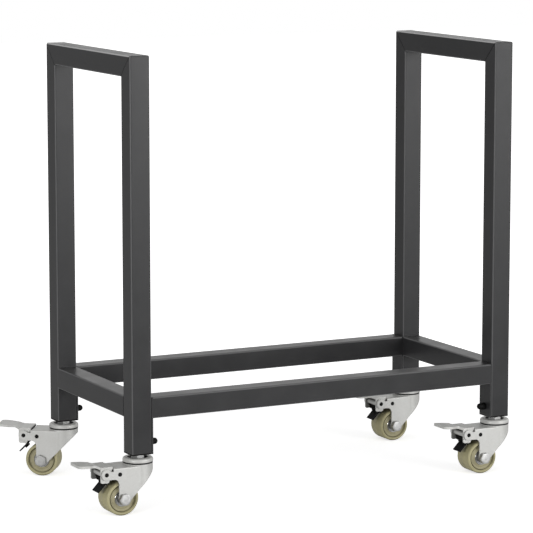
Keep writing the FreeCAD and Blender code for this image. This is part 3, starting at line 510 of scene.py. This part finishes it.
def hex_fastener_tree():
    """A hexagon with turned ends: a prism cut to a barrel whose ends taper, bored through."""
    tree, given, result = shape_tree("hex_fastener",
                                     [("Across Flats", 0.016), ("Height", 0.006), ("Bore", 0.005)])
    flats, height = given["Across Flats"], given["Height"]
    corner = maths(tree, "DIVIDE", flats, math.sqrt(3))
    prism = add(tree, "GeometryNodeMeshCylinder", {"Vertices": 6, "Radius": corner, "Depth": height})
    barrel = add(tree, "GeometryNodeMeshCylinder",
                 {"Vertices": 72, "Side Segments": 3, "Radius": 1.0, "Depth": height})
    spot = split(tree, add(tree, "GeometryNodeInputPosition").outputs[0])
    half = maths(tree, "MULTIPLY", height, 0.5)
    off_middle = maths(tree, "ABSOLUTE", spot["Z"])
    middle = maths(tree, "LESS_THAN", off_middle, maths(tree, "MULTIPLY", height, HEX_MIDDLE))
    wide = maths(tree, "MULTIPLY", corner, HEX_PAST)
    narrow = maths(tree, "MULTIPLY", flats, HEX_FACE)
    spread = maths(tree, "SUBTRACT", wide, narrow)
    radius = maths(tree, "MULTIPLY_ADD", middle, spread, narrow)
    drop = maths(tree, "MULTIPLY", spread, math.tan(HEX_TAPER))
    shoulder = maths(tree, "SUBTRACT", half, drop)
    level = maths(tree, "MULTIPLY_ADD", middle, maths(tree, "SUBTRACT", shoulder, half), half)
    level = maths(tree, "MULTIPLY", level, maths(tree, "SIGN", spot["Z"]))
    ring = add(tree, "ShaderNodeCombineXYZ",
               {0: maths(tree, "MULTIPLY", spot["X"], radius),
                1: maths(tree, "MULTIPLY", spot["Y"], radius), 2: level})
    tapered = add(tree, "GeometryNodeSetPosition",
                  {"Geometry": barrel.outputs[0], "Position": ring.outputs[0]})
    cut = add(tree, "GeometryNodeMeshBoolean", operation="INTERSECT", solver="EXACT")
    tree.links.new(prism.outputs[0], cut.inputs[1])
    tree.links.new(tapered.outputs[0], cut.inputs[1])
    deep = maths(tree, "MULTIPLY", height, HEX_DRILL)
    drill = add(tree, "GeometryNodeMeshCylinder",
                {"Vertices": 48, "Radius": given["Bore"], "Depth": deep})
    bored = add(tree, "GeometryNodeMeshBoolean", {0: cut.outputs[0]},
                operation="DIFFERENCE", solver="EXACT")
    tree.links.new(drill.outputs[0], bored.inputs[1])
    repeat_on_points(tree, given, result, moved(tree, bored.outputs[0], half))
    return tree


def thread_tree():
    """A screw thread: a ridge wound round a core."""
    tree, given, result = shape_tree("thread",
                                     [("Diameter", 0.008), ("Pitch", 0.00125), ("Length", 0.01)])
    ridge = maths(tree, "MULTIPLY", given["Pitch"], RIDGE_SHARE)
    inside = maths(tree, "SUBTRACT", maths(tree, "MULTIPLY", given["Diameter"], 0.5), ridge)
    turns = maths(tree, "DIVIDE", given["Length"], given["Pitch"])
    path = add(tree, "GeometryNodeCurveSpiral",
               {"Resolution": 28, "Rotations": turns, "Start Radius": inside, "End Radius": inside,
                "Height": given["Length"]})
    profile = add(tree, "GeometryNodeCurvePrimitiveCircle", {"Resolution": 3, "Radius": ridge})
    wound = add(tree, "GeometryNodeCurveToMesh",
                {"Curve": path.outputs[0], "Profile Curve": profile.outputs[0], "Fill Caps": True})
    repeat_on_points(tree, given, result, wound.outputs[0])
    return tree


def rivet_tree():
    """A pin with two domed heads."""
    tree, given, result = shape_tree("rivet", [("Pin", 0.0025), ("Head", 0.0032), ("Dome", 0.0008),
                                               ("Grip", 0.04)])
    pin = add(tree, "GeometryNodeMeshCylinder",
              {"Vertices": 32, "Radius": given["Pin"], "Depth": given["Grip"]})
    ball = add(tree, "GeometryNodeMeshUVSphere", {"Segments": 32, "Rings": 16, "Radius": given["Head"]})
    spot = split(tree, add(tree, "GeometryNodeInputPosition").outputs[0])
    raised = maths(tree, "MAXIMUM", spot["Z"], 0.0)
    level = maths(tree, "DIVIDE", maths(tree, "MULTIPLY", raised, given["Dome"]), given["Head"])
    flat = add(tree, "ShaderNodeCombineXYZ", {0: spot["X"], 1: spot["Y"], 2: level})
    dome = add(tree, "GeometryNodeSetPosition",
               {"Geometry": ball.outputs[0], "Position": flat.outputs[0]})
    half = maths(tree, "MULTIPLY", given["Grip"], 0.5)
    top = moved(tree, dome.outputs[0], half)
    under = add(tree, "GeometryNodeTransform", {"Geometry": top, "Rotation": (math.pi, 0.0, 0.0)})
    whole = add(tree, "GeometryNodeJoinGeometry")
    for shape in (pin.outputs[0], top, under.outputs[0]):
        tree.links.new(shape, whole.inputs[0])
    repeat_on_points(tree, given, result, whole.outputs[0])
    return tree


TREES = {"hex_fastener": hex_fastener_tree(), "thread": thread_tree(), "rivet": rivet_tree()}


def grow(tree_name, points, axes, material, sizes):
    """The plain mesh that a tree makes on these points."""
    tree = TREES[tree_name]
    mesh = bpy.data.meshes.new(tree_name)
    mesh.from_pydata(points, [], [])
    axis = mesh.attributes.new("axis", "FLOAT_VECTOR", "POINT")
    for slot, direction in zip(axis.data, axes):
        slot.vector = direction
    seed = bpy.data.objects.new(tree_name, mesh)
    scene.collection.objects.link(seed)
    modifier = seed.modifiers.new(tree_name, "NODES")
    modifier.node_group = tree
    values = dict(sizes, Material=material)
    for item in tree.interface.items_tree:
        if item.in_out == "INPUT" and item.name in values:
            modifier[item.identifier] = values[item.name]
    grown = bpy.data.meshes.new_from_object(seed.evaluated_get(bpy.context.evaluated_depsgraph_get()))
    bpy.data.objects.remove(seed)
    return grown


def turned(profile, place, axis, steps=64, ring=False):
    """A lathe shape: (radius, height) points from one end to the other, or all round a ring."""
    form = bmesh.new()
    rounds = []
    angles = [2 * math.pi * k / steps for k in range(steps)]
    for radius, height in profile:
        spots = [(radius * math.cos(a), radius * math.sin(a), height) for a in angles]
        if radius == 0.0:
            spots = [(0.0, 0.0, height)]
        rounds.append([form.verts.new(spot) for spot in spots])
    if ring:
        rounds.append(rounds[0])
    for lower, upper in zip(rounds, rounds[1:]):
        for k in range(steps):
            after = (k + 1) % steps
            loop = [lower[k % len(lower)], lower[after % len(lower)],
                    upper[after % len(upper)], upper[k % len(upper)]]
            form.faces.new(list(dict.fromkeys(loop)))
    bmesh.ops.recalc_face_normals(form, faces=form.faces)
    turn = Vector(axis).to_track_quat("Z", "Y").to_matrix().to_4x4()
    form.transform(Matrix.Translation(place) @ turn)
    mesh = bpy.data.meshes.new("turned")
    form.to_mesh(mesh)
    form.free()
    return mesh


def arc(middle, radius, start, end, steps):
    """Points of a profile along an arc, in degrees."""
    spots = []
    for k in range(steps + 1):
        angle = math.radians(start + (end - start) * k / steps)
        spots.append((middle[0] + radius * math.cos(angle), middle[1] + radius * math.sin(angle)))
    return spots


def mirrored(half):
    """A ring profile from its half: the points given, then the same points on the other side."""
    return half + [(radius, -height) for radius, height in reversed(half)]


SHARP_ANGLE = math.radians(32)


def one_piece(name, meshes, body, slot, *replaced):
    """Meshes as one piece that rides on a body, in place of a plain solid where one is named."""
    form = bmesh.new()
    for mesh in meshes:
        form.from_mesh(mesh)
    for face in form.faces:
        face.material_index = 0
        face.smooth = True
    joined = bpy.data.meshes.new(name)
    form.to_mesh(joined)
    form.free()
    joined.set_sharp_from_angle(angle=SHARP_ANGLE)
    joined.materials.append(FINISHES[slot])
    piece = bpy.data.objects.new(name, joined)
    scene.collection.objects.link(piece)
    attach(piece, body)
    if replaced:
        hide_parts(*replaced)


steel, black = FINISHES["bright_steel"], FINISHES["black_steel"]


# Frame fasteners: four of each, one on every leg.
JAM_NUT_FLATS, JAM_NUT_BORE = 0.018, 0.00605
COLLAR_FLATS, COLLAR_HEIGHT, COLLAR_BORE = 0.010, 0.006, 0.0030
SCREW_RADIUS, SCREW_DEPTH = 0.0029, 0.0085
DOME_RADIUS, DOME_ROUND = 0.0048, 0.0045
DOME_FOOT, DOME_SHOULDER = 0.0058, 0.0092


def jam_nut_row():
    """The nut on every stem, under the foot of the leg."""
    low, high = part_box("jam_nuts")
    nuts = grow("hex_fastener", [leg + UP * low.z for leg in legs], [UP] * len(legs), steel,
                {"Across Flats": JAM_NUT_FLATS, "Height": high.z - low.z, "Bore": JAM_NUT_BORE})
    one_piece("jam_nut_row", [nuts], "frame", "bright_steel", "jam_nuts")


def locking_screw_row():
    """Hexagon collar against the end plate, then a domed cap; the thread goes on into the leg."""
    low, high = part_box("locking_screws")
    level = UP * ((low.z + high.z) / 2)
    inward = [Vector((-math.copysign(1.0, leg.x), 0, 0)) for leg in legs]
    seats = [leg + level + way * SCREW_SEAT for leg, way in zip(legs, inward)]
    meshes = [grow("hex_fastener", seats, inward, black,
                   {"Across Flats": COLLAR_FLATS, "Height": COLLAR_HEIGHT, "Bore": COLLAR_BORE})]
    screw = [(0.0, -SCREW_DEPTH), (SCREW_RADIUS, -SCREW_DEPTH), (SCREW_RADIUS, DOME_FOOT),
             (DOME_RADIUS, DOME_FOOT)]
    screw += arc((DOME_RADIUS - DOME_ROUND, DOME_SHOULDER), DOME_ROUND, start=0, end=84, steps=8)
    screw += [(0.0, DOME_SHOULDER + DOME_ROUND)]
    meshes += [turned(screw, seat, way, steps=40) for seat, way in zip(seats, inward)]
    one_piece("locking_screw_row", meshes, "frame", "black_steel", "locking_screws")


# Fasteners of one caster.
HEX_FLATS, BOLT_HEAD, NUT_HEIGHT = 0.016, 0.0064, 0.0080
CROWN_RADIUS, CROWN_BORE, CROWN_FOOT = 0.0056, 0.0020, 0.0002
CROWN_EDGE, CROWN_RIM, CROWN_TOP, CROWN_DISH = 0.0003, 0.0004, 0.0001, 0.0002
THREAD_RADIUS, THREAD_PITCH, THREAD_END = 0.0050, 0.0015, 0.0012
THREAD_START, THREAD_FADE, THREAD_TIP, THREAD_SLACK = 0.0005, 0.0002, 0.0006, 0.00005
THREAD_ROOT = THREAD_RADIUS - THREAD_PITCH * 0.3
RIVET = {"Pin": 0.0025, "Head": 0.0032, "Dome": 0.0008, "Grip": FORK_HALF * 2}


def axle_bolt(caster, axle, across):
    """A hexagon head outside one side plate, the shank, and the thread past the other."""
    seat = axle + across * FORK_HALF
    head = grow("hex_fastener", [seat], [across], steel,
                {"Across Flats": HEX_FLATS, "Height": BOLT_HEAD, "Bore": CROWN_BORE})
    crown = turned([(0.0, CROWN_FOOT), (CROWN_RADIUS, CROWN_FOOT),
                    (CROWN_RADIUS, BOLT_HEAD - CROWN_EDGE),
                    (CROWN_RADIUS - CROWN_RIM, BOLT_HEAD - CROWN_TOP),
                    (0.0, BOLT_HEAD - CROWN_DISH)], seat, across)
    through = FORK_HALF * 2
    end = through + NUT_HEIGHT + THREAD_END
    shank = turned([(0.0, 0.0), (THREAD_RADIUS, 0.0), (THREAD_RADIUS, through - THREAD_FADE),
                    (THREAD_ROOT, through + THREAD_FADE), (THREAD_ROOT, end - THREAD_TIP),
                    (THREAD_ROOT - THREAD_TIP, end), (0.0, end)], seat, -across)
    ridge = grow("thread", [axle - across * (FORK_HALF + THREAD_START)], [-across], steel,
                 {"Diameter": THREAD_RADIUS * 2, "Pitch": THREAD_PITCH, "Length": NUT_HEIGHT})
    one_piece(f"{caster}_axle_bolt_turned", [head, crown, shank, ridge], f"{caster}_fork",
              "bright_steel", f"{caster}_axle_bolt")


def axle_nut(caster, axle, across):
    """The nut on the thread, outside the other side plate."""
    seat = axle - across * FORK_HALF
    nut = grow("hex_fastener", [seat], [-across], steel,
               {"Across Flats": HEX_FLATS, "Height": NUT_HEIGHT, "Bore": THREAD_RADIUS + THREAD_SLACK})
    one_piece(f"{caster}_axle_nut_turned", [nut], f"{caster}_fork", "bright_steel",
              f"{caster}_axle_nut")


# Trim on the cross bar of a pedal: places from the axle, then radii and half length.
SLEEVE_ALONG, SLEEVE_UP = 0.02575, 0.02720
PACKING_ALONG, PACKING_UP = 0.02634, 0.03156
SLEEVE_BORE, SLEEVE_RADIUS, PACKING_RADIUS, SLEEVE_HALF = 0.0019, 0.00225, 0.0024, 0.0164


def cam_sleeve(caster, axle, across):
    """The sleeve on the cross bar of the pedal, and the packing between it and the barrel; both are
    black, as painted shade for the dark space under the pedal.
    """
    out = across.cross(UP)
    tube = [(SLEEVE_BORE, -SLEEVE_HALF), (SLEEVE_RADIUS, -SLEEVE_HALF),
            (SLEEVE_RADIUS, SLEEVE_HALF), (SLEEVE_BORE, SLEEVE_HALF)]
    sleeve = turned(tube, axle + out * SLEEVE_ALONG + UP * SLEEVE_UP, across, steps=32, ring=True)
    rod = [(0.0, -SLEEVE_HALF), (PACKING_RADIUS, -SLEEVE_HALF),
           (PACKING_RADIUS, SLEEVE_HALF), (0.0, SLEEVE_HALF)]
    packing = turned(rod, axle + out * PACKING_ALONG + UP * PACKING_UP, across, steps=32)
    # Black sleeve and packing: painted shade under the pedal.
    one_piece(f"{caster}_cam_sleeve", [sleeve, packing], f"{caster}_pedal", "pad_rubber")


def rivet_pair(caster, across):
    """The pins of the pedal and of the brake plate."""
    pins = [Vector(joints[f"{caster}_{joint}"]["pos_m"]) for joint in ("pedal", "brake")]
    rivets = grow("rivet", pins, [across] * 2, black, RIVET)
    one_piece(f"{caster}_rivet_pair", [rivets], f"{caster}_fork", "black_steel", f"{caster}_rivets")


# Wheel of one caster: radii and half widths, measured from the axle.
TREAD_RADIUS, TREAD_HALF, TREAD_ROUND = 0.0254, 0.0175, 0.0032
CORE_RADIUS, CORE_HALF = 0.0200, 0.0155
BEARING_RADIUS, BEARING_BORE, BEARING_WIDTH = 0.0120, 0.0060, 0.0060
RACE_WIDTH, RACE_EDGE, BEARING_SLACK = 0.0018, 0.0003, 0.00005
# The dished shield of a bearing beside its outer and its inner race: distance from it, and depth.
SHIELD_OUTER, SHIELD_INNER = (0.0001, 0.0008), (0.0003, 0.0006)
# Outlines in the side of the tread and of the core: radius, and depth below the side.
TREAD_GROOVE = [(CORE_RADIUS, 0.0026), (CORE_RADIUS + 0.0006, 0.0012), (CORE_RADIUS + 0.0014, 0.0002)]
CORE_HUB = [(BEARING_RADIUS, 0.0004), (BEARING_RADIUS + 0.0004, 0.0), (0.0138, 0.0), (0.0142, 0.0002)]
CORE_HOLLOW = [(0.0158, 0.0013), (0.0178, 0.0013)]
CORE_RIM = [(0.0187, 0.0003), (0.0191, 0.0001), (CORE_RADIUS - 0.0006, 0.0004),
            (CORE_RADIUS - 0.0001, 0.0016)]
# The line round the middle of the tread: radius, and distance from the middle.
MOULD_LINE = [(TREAD_RADIUS - 0.0001, 0.0004), (TREAD_RADIUS, 0.0002)]


def wheel_tread(caster, axle, across):
    """A barrel with round shoulders, a faint line round its middle and a groove beside the core."""
    half = [(radius, TREAD_HALF - depth) for radius, depth in TREAD_GROOVE]
    half += arc((TREAD_RADIUS - TREAD_ROUND, TREAD_HALF - TREAD_ROUND), TREAD_ROUND,
                start=90, end=0, steps=10)
    mesh = turned(mirrored(half + MOULD_LINE), axle, across, steps=128, ring=True)
    one_piece(f"{caster}_wheel_tread_turned", [mesh], f"{caster}_wheel", "tread_urethane",
              f"{caster}_wheel_tread")


def wheel_core(caster, axle, across):
    """The moulded disc: a raised rim, a ring hollow and the hub that holds the bearings."""
    half = [(radius, CORE_HALF - depth) for radius, depth in CORE_HUB + CORE_HOLLOW + CORE_RIM]
    mesh = turned(mirrored(half), axle, across, steps=96, ring=True)
    one_piece(f"{caster}_wheel_core_turned", [mesh], f"{caster}_wheel", "core_nylon",
              f"{caster}_wheel_core")


def bearing_pair(caster, axle, across):
    """Two rings with a dished shield between them, one bearing on each side."""
    outer, inner = BEARING_RADIUS - BEARING_SLACK, BEARING_BORE
    outer_race, inner_race = outer - RACE_WIDTH, inner + RACE_WIDTH
    profile = [(inner, -BEARING_WIDTH), (outer, -BEARING_WIDTH),
               (outer, -RACE_EDGE), (outer - RACE_EDGE, 0.0), (outer_race, 0.0),
               (outer_race - SHIELD_OUTER[0], -SHIELD_OUTER[1]),
               (inner_race + SHIELD_INNER[0], -SHIELD_INNER[1]),
               (inner_race, 0.0), (inner + RACE_EDGE, 0.0), (inner, -RACE_EDGE)]
    ways = (across, -across)
    meshes = [turned(profile, axle + way * CORE_HALF, way, steps=72, ring=True) for way in ways]
    one_piece(f"{caster}_bearing_pair", meshes, f"{caster}_wheel", "ball_steel",
              f"{caster}_wheel_bearings")


jam_nut_row()
locking_screw_row()
for caster in CASTERS:
    axle = Vector(joints[f"{caster}_roll"]["pos_m"])
    across = Vector(joints[f"{caster}_roll"]["axis"])
    axle_bolt(caster, axle, across)
    axle_nut(caster, axle, across)
    cam_sleeve(caster, axle, across)
    rivet_pair(caster, across)
    wheel_tread(caster, axle, across)
    wheel_core(caster, axle, across)
    bearing_pair(caster, axle, across)


# Stage: a pale floor that keeps the shadow, soft light, and the camera.
WHITE = (1.0, 1.0, 1.0, 1.0)
FLOOR_PAINT, FLOOR_SIZE = (0.82, 0.82, 0.82, 1.0), 9.0
# Glow of the floor: near the part, and where it is mirrored; then the reach over which it grows.
FLOOR_GLOW, FLOOR_MIRRORED = 0.65, 0.08
GLOW_NEAR, GLOW_FAR = 0.45, 1.3
# Room: its light on the part from the left and the right; its left where mirrored, and where that ends.
LIGHT_LEFT, LIGHT_RIGHT = 0.64, 0.20
ROOM_LEFT, ROOM_START, ROOM_END = 0.12, -0.6, 0.3
LAMP_TARGET = Vector((0.0, 0.0, 0.3))
# Camera: place in metres, turn in degrees, lens and sensor in millimetres, and its far limit.
CAMERA_PLACE = (-1.9894, -3.8268, 0.9725)
CAMERA_DOWN, CAMERA_RIGHT = 8.548, 27.190
CAMERA_LENS, CAMERA_SENSOR, CAMERA_FAR = 190.53, 36.0, 100.0


def mirrored_rays(tree):
    """1 for the rays that show the surroundings in something bright or through something clear."""
    path = add(tree, "ShaderNodeLightPath").outputs
    return maths(tree, "MAXIMUM", path["Is Glossy Ray"], path["Is Transmission Ray"])


def make_floor():
    """Pale paint that keeps the shadow; its glow, seen directly, grows to plain white further off."""
    form = bmesh.new()
    bmesh.ops.create_grid(form, x_segments=1, y_segments=1, size=FLOOR_SIZE)
    mesh = bpy.data.meshes.new("floor")
    form.to_mesh(mesh)
    form.free()
    floor = bpy.data.objects.new("floor", mesh)
    scene.collection.objects.link(floor)
    material = bpy.data.materials.new("pale_floor")
    material.use_nodes = True
    tree = material.node_tree
    tree.nodes.clear()
    paint = add(tree, "ShaderNodeBsdfDiffuse", {"Color": FLOOR_PAINT})
    distance = add(tree, "ShaderNodeVectorMath", {0: object_place(tree)}, operation="LENGTH")
    shine = ramp(tree, distance.outputs["Value"], GLOW_NEAR, GLOW_FAR, FLOOR_GLOW, 1.0)
    direct = add(tree, "ShaderNodeLightPath").outputs["Is Camera Ray"]
    seen = maths(tree, "MULTIPLY", direct, shine)
    strength = maths(tree, "MULTIPLY_ADD", mirrored_rays(tree), FLOOR_MIRRORED, seen)
    glow = add(tree, "ShaderNodeEmission", {"Color": WHITE, "Strength": strength})
    both = add(tree, "ShaderNodeAddShader", {0: paint.outputs[0], 1: glow.outputs[0]})
    add(tree, "ShaderNodeOutputMaterial", {"Surface": both.outputs[0]})
    mesh.materials.append(material)


def make_world():
    """White behind the part; a softer light on it, most from the left; mirrored, darker to the left."""
    world = bpy.data.worlds.new("studio")
    scene.world = world
    world.use_nodes = True
    tree = world.node_tree
    tree.nodes.clear()
    direct = add(tree, "ShaderNodeLightPath").outputs["Is Camera Ray"]
    way = add(tree, "ShaderNodeTexCoord").outputs["Generated"]
    side = split(tree, way)["X"]
    room = ramp(tree, side, ROOM_START, ROOM_END, ROOM_LEFT, 1.0)
    shade = ramp(tree, side, -1.0, 1.0, LIGHT_LEFT, LIGHT_RIGHT)
    change = maths(tree, "SUBTRACT", room, shade)
    light = maths(tree, "MULTIPLY_ADD", mirrored_rays(tree), change, shade)
    light = maths(tree, "MAXIMUM", light, direct)
    back = add(tree, "ShaderNodeBackground", {"Color": WHITE, "Strength": light})
    add(tree, "ShaderNodeOutputWorld", {"Surface": back.outputs[0]})


def make_lamp(name, place, size, power):
    """A round soft lamp that looks at the lower middle of the part."""
    lamp = bpy.data.lights.new(name, "AREA")
    lamp.shape = "DISK"
    lamp.size = size
    lamp.energy = power
    holder = bpy.data.objects.new(name, lamp)
    holder.location = place
    holder.rotation_euler = (LAMP_TARGET - Vector(place)).to_track_quat("-Z", "Y").to_euler()
    scene.collection.objects.link(holder)


def make_camera():
    """The view of the photograph: from the front left, a little down and to the right."""
    camera = bpy.data.cameras.new("photo_view")
    camera.sensor_fit = "HORIZONTAL"
    camera.sensor_width = CAMERA_SENSOR
    camera.lens = CAMERA_LENS
    camera.clip_end = CAMERA_FAR
    holder = bpy.data.objects.new("photo_view", camera)
    holder.location = CAMERA_PLACE
    holder.rotation_euler = (math.radians(90 - CAMERA_DOWN), 0.0, math.radians(-CAMERA_RIGHT))
    scene.collection.objects.link(holder)
    scene.camera = holder


make_floor()
make_world()
make_lamp("front_softbox", place=(1.9, -3.9, 0.9), size=2.2, power=92.0)
make_lamp("left_softbox", place=(-3.0, -1.8, 0.7), size=0.8, power=34.0)
make_lamp("overhead_softbox", place=(0.3, 0.2, 2.8), size=2.0, power=3.0)
make_camera()
